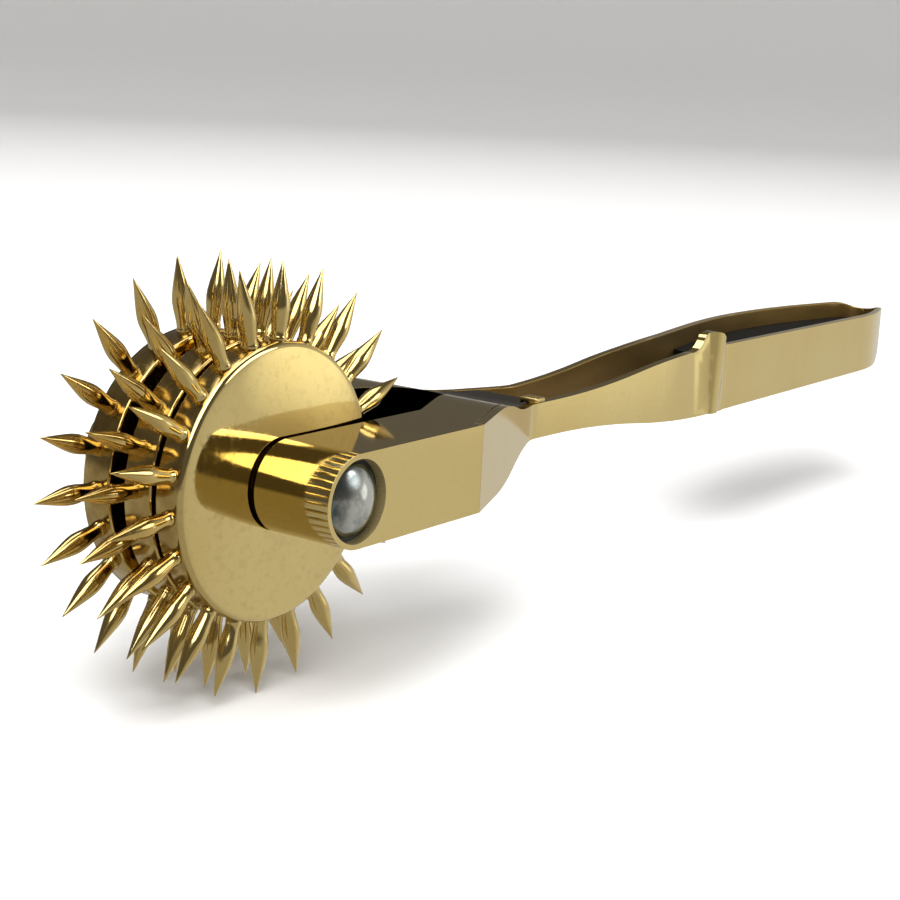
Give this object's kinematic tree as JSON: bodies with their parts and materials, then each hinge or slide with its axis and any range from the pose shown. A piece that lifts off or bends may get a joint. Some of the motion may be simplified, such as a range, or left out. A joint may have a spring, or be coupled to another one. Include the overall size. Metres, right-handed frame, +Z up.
{
  "type": "spiked dough roller",
  "caption": "Spiked roller with a forked gold-coloured handle, free-turning wheels of pins side by side on one axle and a long flat grip.",
  "frame": {"origin": "under the middle of the whole object, level with the lowest pin tips", "axes": "+X along the handle from the wheels to the closed end, +Y along the axle from the domed head to the nut, +Z up"},
  "size_m": [0.1626, 0.031, 0.0404],
  "materials": {
    "gold_plate": "polished",
    "silver_plate": "polished",
    "dull_steel": "satin",
    "black_core": "matte"
  },
  "bodies": {
    "handle": {"fork": "gold_plate", "near_strip": "gold_plate", "grip_strip": "gold_plate", "grip_filler": "black_core", "neck_tab_near": "gold_plate", "neck_tab_far": "gold_plate", "axle": "silver_plate", "axle_nut": "silver_plate", "washer_near": "dull_steel", "spacer_thin": "dull_steel", "spacer_thick": "dull_steel", "washer_far": "dull_steel"},
    "near_wheel": {"wheel_near": "gold_plate", "pins_near": "gold_plate"},
    "middle_wheel": {"wheel_middle": "gold_plate", "pins_middle": "gold_plate"},
    "far_wheel": {"wheel_far": "gold_plate", "pins_far": "gold_plate"}
  },
  "joints": [
    {"name": "near_wheel_spin", "type": "hinge", "parent": "handle", "child": "near_wheel", "pos_m": [-0.0611, -0.00447, 0.0202], "axis": [0, 1, 0], "continuous": true},
    {"name": "middle_wheel_spin", "type": "hinge", "parent": "handle", "child": "middle_wheel", "pos_m": [-0.0611, -0.00063, 0.0202], "axis": [0, 1, 0], "continuous": true},
    {"name": "far_wheel_spin", "type": "hinge", "parent": "handle", "child": "far_wheel", "pos_m": [-0.0611, 0.00447, 0.0202], "axis": [0, 1, 0], "continuous": true}
  ]
}
